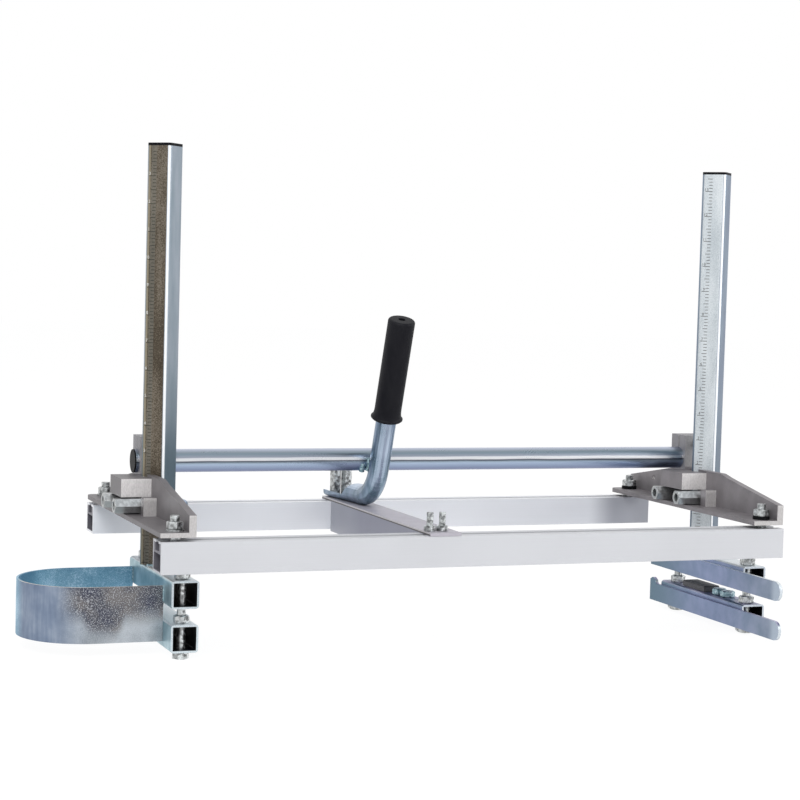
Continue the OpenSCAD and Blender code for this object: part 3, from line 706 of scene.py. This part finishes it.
@once
def bead_tree():
    """A lumpy weld bead along the edges of the mesh."""
    shape = Shape("weld bead")
    radius, lump, ripple = shape.inputs(radius=0.0015, lump=0.3, ripple=500.0)
    path = shape.add("GeometryNodeMeshToCurve", {}, {"Mesh": shape.geometry()})[0]
    path = shape.add("GeometryNodeResampleCurve", {"mode": "LENGTH"}, {"Curve": path, "Length": 0.0006})[0]
    where = shape.add("GeometryNodeInputPosition")[0]
    wave = shape.noise(where, ripple, 2.0)
    swell = 1.0 - lump + 2.0 * lump * wave
    path = shape.add("GeometryNodeSetCurveRadius", {}, {"Curve": path, "Radius": swell})[0]
    ring = shape.add("GeometryNodeCurvePrimitiveCircle", {}, {"Resolution": 10, "Radius": radius})[0]
    scale = shape.add("GeometryNodeInputRadius")[0]
    values = {"Curve": path, "Profile Curve": ring, "Scale": scale, "Fill Caps": True}
    return shape.close(shape.add("GeometryNodeCurveToMesh", {}, values)[0])


EIGHTHS = 8


@once
def tick_tree():
    """A column of scale marks up Z: long at each inch, middling at each half, short between."""
    shape = Shape("scale ticks")
    count, pitch, first = shape.inputs(count=96, pitch=0.003175, first=0)
    short, half, long = shape.inputs(short=0.003, half=0.005, long=0.007)
    width, thick = shape.inputs(width=0.0004, thick=0.0001)
    step = shape.add("ShaderNodeCombineXYZ", {}, {"Z": pitch})[0]
    line = shape.add("GeometryNodeMeshLine", {"mode": "OFFSET"}, {"Count": count, "Offset": step})[0]
    number = shape.add("GeometryNodeInputIndex")[0] + first
    at_inch = (number % EIGHTHS) < 0.5
    at_half = (number % (EIGHTHS / 2)) < 0.5
    reach = short + (half - short) * at_half + (long - half) * at_inch
    left = shape.add("ShaderNodeCombineXYZ", {}, {"X": reach * -0.5})[0]
    line = shape.add("GeometryNodeSetPosition", {}, {"Geometry": line, "Offset": left})[0]
    size = shape.add("ShaderNodeCombineXYZ", {}, {"X": reach, "Y": thick, "Z": width})[0]
    block = shape.add("GeometryNodeMeshCube", {}, {"Size": (1.0, 1.0, 1.0)})[0]
    values = {"Points": line, "Instance": block, "Scale": size}
    return shape.close(shape.add("GeometryNodeInstanceOnPoints", {}, values)[0])


# Sizes and colours


class MillFinishes(bpy.types.PropertyGroup):
    zinc: bpy.props.FloatVectorProperty(
        name="Zinc plate", description="Colour of the plated tubes", subtype="COLOR",
        default=(0.60, 0.67, 0.73))
    bright: bpy.props.FloatVectorProperty(
        name="Bright zinc", description="Colour of the nuts and screws", subtype="COLOR",
        default=(0.56, 0.58, 0.58))
    rail: bpy.props.FloatVectorProperty(
        name="Rail alloy", description="Colour of the slotted rails", subtype="COLOR",
        default=(0.70, 0.71, 0.74))
    bracket: bpy.props.FloatVectorProperty(
        name="Bracket alloy", description="Colour of the brackets' rolled faces", subtype="COLOR",
        default=(0.215, 0.200, 0.210))
    sawn: bpy.props.FloatVectorProperty(
        name="Sawn alloy", description="Colour of the brackets' sawn faces", subtype="COLOR",
        default=(0.62, 0.60, 0.595))
    rubber: bpy.props.FloatVectorProperty(
        name="Rubber", description="Colour of the handle's grip", subtype="COLOR",
        default=(0.006, 0.006, 0.009))


class MillSizes(bpy.types.PropertyGroup):
    nut_across: bpy.props.FloatProperty(
        name="Nut", description="Width across the flats of the large nuts", unit="LENGTH", default=13 * MM)
    small_nut_across: bpy.props.FloatProperty(
        name="Small nut", description="Width across the flats of the brace's nuts", unit="LENGTH",
        default=10 * MM)
    rod: bpy.props.FloatProperty(
        name="Rod", description="Diameter of the large bolts", unit="LENGTH", default=8 * MM)
    small_rod: bpy.props.FloatProperty(
        name="Small rod", description="Diameter of the brace's studs", unit="LENGTH", default=6 * MM)
    pitch: bpy.props.FloatProperty(
        name="Thread pitch", description="Pitch of the large bolts' thread", unit="LENGTH",
        default=1.25 * MM)
    small_pitch: bpy.props.FloatProperty(
        name="Small thread pitch", description="Pitch of the studs' thread", unit="LENGTH",
        default=1.0 * MM)
    post_w: bpy.props.FloatProperty(
        name="Post", description="Width across the flats of a post", unit="LENGTH", default=25 * MM)
    inch: bpy.props.FloatProperty(
        name="Inch", description="Distance between the numbered marks", unit="LENGTH", default=25.4 * MM)
    left_zero: bpy.props.FloatProperty(
        name="Left zero", description="Height of the left scale's zero mark above the rails",
        unit="LENGTH", default=-14.4 * MM)
    right_zero: bpy.props.FloatProperty(
        name="Right zero", description="Height of the right scale's zero mark above the rails",
        unit="LENGTH", default=-4.0 * MM)


class MillStage(bpy.types.PropertyGroup):
    floor: bpy.props.FloatVectorProperty(
        name="Floor", description="Colour of the floor", subtype="COLOR", default=(0.85, 0.85, 0.86))
    key: bpy.props.FloatProperty(
        name="Key light", description="Power of the large lamp", unit="POWER", default=60.0)
    fill: bpy.props.FloatProperty(
        name="Fill light", description="Power of the side lamp", unit="POWER", default=26.0)
    sky: bpy.props.FloatProperty(name="Sky", description="Strength of the room's own light", default=0.55)


# Pieces


class MILL_OT_finishes(bpy.types.Operator):
    """Give the kept CAD parts their finishes"""

    bl_idname = "mill.finishes"
    bl_label = "Finish the frame parts"

    def execute(self, context):
        rolled, sawn = finishes().bracket, tuple(finishes().sawn)
        looks = (
            (black_plastic(), ("bracket_washers_right", "cross_tube_plugs", "post_cap")),
            (bright_zinc(), ("brace_bolts", "bracket_bolts", "bracket_washers_left", "lock_washers",
                             "seat_screw", "pinch_screw", "jaw_bolts", "jaw_washers")),
            (zinc_plate(), ("handle_tube", "u_bolt")),
            (cross_zinc(), "cross_tube"),
            (grip_rubber(), "handle_grip"),
            # The rear rail's copy is painted lighter, to make up for the shade that the front rail casts on
            # it
            (rail_alloy("front rail alloy", 0.89, "rail_front"), "rail_front"),
            (rail_alloy("rear rail alloy", 1.34, "rail_rear"), "rail_rear"),
            (brace_alloy(), "centre_brace"),
            (sawn_alloy("left bracket alloy", scaled(rolled, 0.84), sawn), "bracket_left"),
            (sawn_alloy("right bracket alloy", scaled(rolled, 1.10), sawn), "bracket_right"),
            (sawn_alloy("block alloy", (0.25, 0.245, 0.262), (0.34, 0.33, 0.33)), "tube_clamp"),
            (post_zinc("left"), "post_left"),
            (post_zinc("right"), "post_right"),
            (sheet_zinc(), "nose_guard"),
            (jaw_zinc("left"), ("upper_jaw_left", "lower_jaw_left")),
            (jaw_zinc("right"), ("upper_jaw_right", "lower_jaw_right", "upper_bar", "lower_bar")),
        )
        for name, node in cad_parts.items():
            material = next((look for look, starts in looks if name.startswith(starts)), None)
            if material:
                node.data.materials.clear()
                node.data.materials.append(material)
        return {"FINISHED"}


class MILL_OT_nuts(bpy.types.Operator):
    """Make the chamfered nuts of the brackets, the brace and the jaws"""

    bl_idname = "mill.nuts"
    bl_label = "Make the nuts"

    def execute(self, context):
        sizes = context.scene.mill_sizes
        large, bore = sizes.nut_across, sizes.rod / 2
        small, small_bore = sizes.small_nut_across, sizes.small_rod / 2
        twelfth = math.radians(30)
        long_zinc = bright_zinc("long nut zinc", 0.25, 1.2)
        nuts("brace_nut_pair", "brace_nuts", "frame", small, small_bore, turn=twelfth)
        nuts("handle_foot_nut_pair", "brace_foot_nuts", "frame", small, small_bore, turn=twelfth)
        for side in SIDES:
            nuts(f"{side}_bracket_nut_pair", f"bracket_nuts_{side}", f"{side}_end", large, bore)
            nuts(f"{side}_jaw_lock_nut_pair", f"jaw_lock_nuts_{side}", f"{side}_jaw", large, bore)
            for end in ("front", "rear"):
                nuts(f"{side}_{end}_long_nut", f"lock_nut_{side}_{end}", f"{side}_{end}_lock_nut",
                     large, bore, axis=0, material=long_zinc)
                nuts(f"{side}_{end}_clamp_nut", f"jaw_nut_{side}_{end}", f"{side}_{end}_jaw_nut",
                     large, bore)
        return {"FINISHED"}


class MILL_OT_clip(bpy.types.Operator):
    """Lay the small plate and its nuts on the right lower jaw"""

    bl_idname = "mill.clip"
    bl_label = "Lay the jaw plate"

    def execute(self, context):
        width, length, height, bevel = 18 * MM, 45 * MM, 6.2 * MM, 0.7 * MM
        plate_y, nuts_at, bore = 159.5, ((106, 0.0), (122, 0.3)), 1.5 * MM
        x, top = middle("lower_jaw_right").x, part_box("lower_jaw_right")[1].z
        bm = bmesh.new()
        spot = Matrix.Translation((x, place(0, plate_y, 0).y, top + height / 2))
        bmesh.ops.create_cube(bm, size=1.0, matrix=spot @ Matrix.Diagonal((width, length, height, 1.0)))
        bmesh.ops.bevel(bm, geom=bm.edges[:], offset=bevel, segments=2, affect="EDGES")
        metal = stamped_mark("plate metal", (0.03, 0.03, 0.035), (0.12, 0.12, 0.13))
        finished(mesh_of("right_jaw_plate", bm, metal), "right_jaw", "jaw")
        bm = bmesh.new()
        for y, turn in nuts_at:
            spot = Matrix.Translation((x, place(0, y, 0).y, top)) @ Matrix.Rotation(turn, 4, "Z")
            rings = nut_rings(context.scene.mill_sizes.nut_across, height, bore)
            join_rings(bm, [[spot @ p for p in ring] for ring in rings])
        finished(mesh_of("right_jaw_plate_nuts", bm, weld_metal(), NUT_SMOOTH), "right_jaw", "jaw")
        return {"FINISHED"}


class MILL_OT_threads(bpy.types.Operator):
    """Cut the threads that show on the studs and bolts"""

    bl_idname = "mill.threads"
    bl_label = "Cut the threads"

    def thread(self, name, body, node, across, length, diameter, pitch):
        """Threads that stand on a CAD node's nuts."""
        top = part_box(node)[1].z
        bases = [Vector((p.x, p.y, top)) for p in centres(node, across, 2)[0]]
        piece = grown(name, point_mesh(name, bases), thread_tree(), radius=diameter / 2 - 0.1 * MM,
                      pitch=pitch, length=length, depth=0.3 * pitch, material=bright_zinc())
        finished(piece, body, "zinc")

    def execute(self, context):
        sizes = context.scene.mill_sizes
        tip, front_length = 0.6 * MM, 11.4 * MM
        for side in SIDES:
            node = f"bracket_nuts_{side}"
            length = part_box(f"bracket_bolts_{side}")[1].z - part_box(node)[1].z - tip
            self.thread(f"{side}_bracket_stud_threads", f"{side}_end", node, sizes.nut_across, length,
                        sizes.rod, sizes.pitch)
        self.thread("brace_stud_threads", "frame", "brace_nuts", sizes.small_nut_across, front_length,
                    sizes.small_rod, sizes.small_pitch)
        return {"FINISHED"}


class MILL_OT_welds(bpy.types.Operator):
    """Lay the weld beads on the handle, the posts and the guard"""

    bl_idname = "mill.welds"
    bl_label = "Lay the welds"

    def bead(self, name, body, slot, paths, radius, lump=0.25):
        """One piece with a bead along each open path of points."""
        points, edges = [], []
        for path in paths:
            first = len(points)
            points += path
            edges += [(first + k, first + k + 1) for k in range(len(path) - 1)]
        piece = grown(name, point_mesh(name, points, edges), bead_tree(), radius=radius, lump=lump,
                      material=weld_metal())
        finished(piece, body, slot)

    def handle_paths(self):
        """Both sides of the joint of the handle and the level tube, and a run down the left of it."""
        handle_r, lean = 10 * MM, math.radians(19.3)
        half_w, flare, step = 6.5 * MM, 0.35 * MM, 1.6 * MM
        run_x, run_up, run_away, run_step = -13 * MM, -4 * MM, -1.2 * MM, 1.5 * MM
        cross = middle("cross_tube")
        cross_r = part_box("cross_tube")[1].z - cross.z
        away = Vector((0, -math.cos(lean), -math.sin(lean)))
        along = Vector((0, -math.sin(lean), math.cos(lean)))
        touch = Vector((middle("handle_grip").x, cross.y, cross.z)) + away * cross_r
        paths = []
        for side in (-1, 1):
            path = []
            for k in range(-4, 5):
                u = k * step
                s = half_w + abs(k) * flare
                tube_back = cross_r - math.sqrt(cross_r ** 2 - u ** 2)
                handle_back = handle_r - math.sqrt(handle_r ** 2 - s ** 2)
                back = away * ((handle_back - tube_back) / 2)
                path.append(touch + Vector((side * s, 0, 0)) + along * u + back)
            paths.append(path)
        start = touch + Vector((run_x, 0, 0)) + along * run_up + away * run_away
        paths.append([start + along * (k * run_step) for k in range(-3, 4)])
        return paths

    def post_paths(self, side, half):
        """The parts of the post's rounded outline that stand on the upper jaw, in front and behind."""
        jaw_half, gap, corner, steps = 11.5 * MM, 0.4 * MM, 1.30 * half, 32
        centre = middle(f"post_{side}")
        base = Vector((centre.x, centre.y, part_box(f"upper_jaw_{side}")[1].z))
        ring = []
        for k in range(steps):
            angle = math.tau * k / steps
            reach = half / max(abs(math.cos(angle)), abs(math.sin(angle)))
            reach = min(reach, corner) + gap
            turn = angle + math.pi / 4
            offset = Vector((reach * math.cos(turn), reach * math.sin(turn), 0))
            if abs(offset.x) < jaw_half:
                ring.append(base + offset)
        ring.sort(key=lambda p: p.x)
        return [[p for p in ring if p.y < centre.y], [p for p in ring if p.y > centre.y]]

    def execute(self, context):
        self.bead("handle_weld", "frame", "zinc", self.handle_paths(), 2.6 * MM, 0.3)
        half = context.scene.mill_sizes.post_w / 2
        for side in SIDES:
            self.bead(f"{side}_post_weld", f"{side}_post", "jaw", self.post_paths(side, half), 1.5 * MM)
        jaw_low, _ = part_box("upper_jaw_left")
        guard_low, guard_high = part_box("nose_guard")
        top, foot = guard_high.z, jaw_low.z + 3 * MM
        paths = [[Vector((jaw_low.x, y, top)), Vector((jaw_low.x, y, foot))]
                 for y in (guard_low.y, guard_high.y - 2.4 * MM)]
        self.bead("guard_weld", "left_post", "jaw", paths, 1.1 * MM)
        return {"FINISHED"}


class MILL_OT_scales(bpy.types.Operator):
    """Stamp the inch scales on the posts"""

    bl_idname = "mill.scales"
    bl_label = "Stamp the scales"

    def numbers(self, name, count, inch, material):
        """A mesh of the inch numbers, one above the other."""
        size, depth = 4.2 * MM, 0.000022
        bm = bmesh.new()
        for number in range(1, count + 1):
            text = bpy.data.curves.new(f"{name}_{number}", "FONT")
            text.body, text.size, text.extrude = str(number), size, depth
            text.align_x, text.resolution_u = "RIGHT", 3
            digits = new_object(text.name, text)
            flat = shown_mesh(digits)
            flat.transform(Matrix.Translation((0, 0, number * inch)) @ Matrix.Rotation(math.pi / 2, 4, "X"))
            bm.from_mesh(flat)
            bpy.data.objects.remove(digits)
            bpy.data.meshes.remove(flat)
        return mesh_of(name, bm, material)

    def execute(self, context):
        sizes = context.scene.mill_sizes
        eighth = sizes.inch / EIGHTHS
        foot_gap, head_gap, number_gap = 2 * MM, 4 * MM, 6 * MM
        tick_lift, number_up, number_sink = 0.03 * MM, 0.7 * MM, 0.02 * MM
        inches_below = 100
        deep = stamped_mark("stamped mark", (0.035, 0.032, 0.028), (0.10, 0.095, 0.085))
        # Dark marks for the left post's ticks
        dark_tick = stamped_mark("sooty mark", (0.010, 0.009, 0.008), (0.040, 0.036, 0.030))
        # Painted highlight: the left post's numbers are light, for the light that the stamped figures catch
        painted_highlight_mark = stamped_mark("worn mark", (0.50, 0.50, 0.48), (0.80, 0.81, 0.80))
        looks = {
            "left": (sizes.left_zero, 1.6 * MM, 7.3 * MM, dark_tick, painted_highlight_mark),
            "right": (sizes.right_zero, 0.8 * MM, 4.9 * MM, deep, deep),
        }
        outward = Vector((-1, -1, 0)).normalized()
        across = Vector((1, -1, 0)).normalized()
        turn = Matrix((across, -outward, Vector((0, 0, 1)))).transposed().to_4x4()
        for side, (zero, tick_inset, number_inset, tick_look, number_look) in looks.items():
            body = f"{side}_post"
            post = f"post_{side}"
            low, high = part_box(post)
            zero += ORIGIN.z
            first = math.ceil((low.z + foot_gap - zero) / eighth)
            last = math.floor((high.z - head_gap - zero) / eighth)
            corner = middle(post) + outward * (sizes.post_w / 2 + tick_lift)
            ticks = grown(f"{body}_scale", point_mesh("scale", []), tick_tree(),
                          count=last - first + 1, pitch=eighth, first=first + EIGHTHS * inches_below,
                          short=3.6 * MM, half=5.2 * MM, long=7.4 * MM,
                          width=0.55 * MM, thick=0.06 * MM, material=tick_look)
            base = Vector((corner.x, corner.y, zero + first * eighth)) - across * tick_inset
            ticks.data.transform(Matrix.Translation(base) @ turn)
            finished(ticks, body, "post")
            count = int((high.z - number_gap - zero) / sizes.inch)
            digits = self.numbers(f"{body}_numbers", count, sizes.inch, number_look)
            base = Vector((corner.x, corner.y, zero + number_up))
            base -= across * number_inset + outward * number_sink
            digits.data.transform(Matrix.Translation(base) @ turn)
            finished(digits, body, "post")
        return {"FINISHED"}


class MILL_OT_stage(bpy.types.Operator):
    """Set up the floor, the lamps, the room and the camera"""

    bl_idname = "mill.stage"
    bl_label = "Set up the studio"

    def lamp(self, name, power, size, where, target=(0, 0, 0.15)):
        """A square lamp that points at the mill."""
        light = bpy.data.lights.new(name, "AREA")
        light.energy, light.size = power, size
        lamp = new_object(name, light)
        lamp.location = where
        lamp.rotation_euler = (Vector(target) - Vector(where)).to_track_quat("-Z", "Y").to_euler()

    def floor(self, colour):
        """A wide floor that takes shadows and looks white."""
        radius, glow, share = 12.0, 1.07, 0.88
        bm = bmesh.new()
        bmesh.ops.create_circle(bm, cap_ends=True, segments=64, radius=radius)
        f = Finish("floor")
        speck = f.noise(f.where, 30.0, 3.0)
        paint = f.ramp(speck, (0.3, scaled(colour, 0.97)), (0.7, colour))
        path = f.add("ShaderNodeLightPath")
        matt = f.add("ShaderNodeBsdfDiffuse", {}, {"Color": paint})["BSDF"]
        white = f.add("ShaderNodeEmission", {}, {"Color": (*WHITE, 1.0), "Strength": glow})["Emission"]
        seen = (path["Is Camera Ray"] + path["Is Glossy Ray"] + path["Is Transmission Ray"]) * share
        mix = f.add("ShaderNodeMixShader", {}, {0: seen, 1: matt, 2: white})[0]
        f.add("ShaderNodeOutputMaterial", {}, {"Surface": mix})
        mesh = bpy.data.meshes.new("floor")
        bm.to_mesh(mesh)
        bm.free()
        mesh.materials.append(f.material)
        new_object("floor", mesh)

    def room(self, strength):
        """A room that is white to the camera, and greyer in reflections from behind the camera."""
        world = bpy.data.worlds.new("studio")
        world.use_nodes = True
        net = Net(world.node_tree)
        net.tree.nodes.clear()
        direction = net.add("ShaderNodeTexCoord")["Generated"]
        _, y, z = net.split(direction)
        path = net.add("ShaderNodeLightPath")
        mirrored = net.blend(y.above(-0.6, 0.5), (0.62, 0.64, 0.68), WHITE)
        mirrored = net.blend((z * -1.0).above(0.02, 0.3), mirrored, (0.80, 0.80, 0.82))
        white = (*WHITE, 1.0)
        lit, glossy, plain = (
            net.add("ShaderNodeBackground", {}, {"Color": colour, "Strength": power})[0]
            for colour, power in ((white, strength), (mirrored, 1.0), (white, 1.0))
        )
        sharp = net.add("ShaderNodeMixShader", {}, {0: path["Is Glossy Ray"], 1: lit, 2: glossy})[0]
        seen = path["Is Camera Ray"] + path["Is Transmission Ray"]
        shown = net.add("ShaderNodeMixShader", {}, {0: seen, 1: sharp, 2: plain})[0]
        net.add("ShaderNodeOutputWorld", {}, {"Surface": shown})
        bpy.context.scene.world = world

    def camera(self):
        """The photograph's view: 88 mm lens, seen from the left and a little above."""
        yaw, pitch, roll = map(math.radians, (21.108, 3.444, 1.614))
        spot, image_px, focal_px = place(-405.1, -1599.9, 224.9), 800, 1951.27
        ahead = Vector((math.sin(yaw) * math.cos(pitch), math.cos(yaw) * math.cos(pitch), -math.sin(pitch)))
        level = Vector((math.cos(yaw), -math.sin(yaw), 0))
        upright = level.cross(ahead)
        right = level * math.cos(roll) + upright * math.sin(roll)
        up = upright * math.cos(roll) - level * math.sin(roll)
        data = bpy.data.cameras.new("camera")
        data.sensor_width, data.sensor_fit = 36.0, "HORIZONTAL"
        data.lens = focal_px / image_px * data.sensor_width
        camera = new_object("camera", data)
        turn = Matrix((right, up, -ahead)).transposed().to_4x4()
        camera.matrix_world = Matrix.Translation(spot) @ turn
        bpy.context.scene.camera = camera

    def execute(self, context):
        stage = context.scene.mill_stage
        self.floor(tuple(stage.floor))
        self.room(stage.sky)
        self.lamp("key lamp", stage.key, 1.6, (-1.3, -2.2, 2.3))
        self.lamp("fill lamp", stage.fill, 1.4, (2.4, -1.2, 1.2))
        self.camera()
        context.scene.view_settings.view_transform = "Standard"
        return {"FINISHED"}


class MILL_PT_panel(bpy.types.Panel):
    """Lists the steps that dress the mill"""

    bl_label = "Chainsaw Mill"
    bl_idname = "MILL_PT_panel"
    bl_space_type = "VIEW_3D"
    bl_region_type = "UI"
    bl_category = "Mill"

    def draw(self, context):
        for operator in OPERATORS:
            self.layout.operator(operator.bl_idname)
        for group in (context.scene.mill_finishes, context.scene.mill_sizes, context.scene.mill_stage):
            for name in group.__annotations__:
                self.layout.prop(group, name)


OPERATORS = (MILL_OT_finishes, MILL_OT_nuts, MILL_OT_clip, MILL_OT_threads, MILL_OT_welds,
             MILL_OT_scales, MILL_OT_stage)
GROUPS = {"mill_finishes": MillFinishes, "mill_sizes": MillSizes, "mill_stage": MillStage}


def register():
    for name, group in GROUPS.items():
        bpy.utils.register_class(group)
        setattr(bpy.types.Scene, name, bpy.props.PointerProperty(type=group))
    for kind in (*OPERATORS, MILL_PT_panel):
        bpy.utils.register_class(kind)


def unregister():
    for kind in reversed((*OPERATORS, MILL_PT_panel)):
        bpy.utils.unregister_class(kind)
    for name, group in GROUPS.items():
        delattr(bpy.types.Scene, name)
        bpy.utils.unregister_class(group)


def main():
    register()
    bpy.ops.mill.finishes()
    bpy.ops.mill.nuts()
    bpy.ops.mill.clip()
    bpy.ops.mill.threads()
    bpy.ops.mill.welds()
    bpy.ops.mill.scales()
    bpy.ops.mill.stage()


if __name__ == "__main__":
    main()
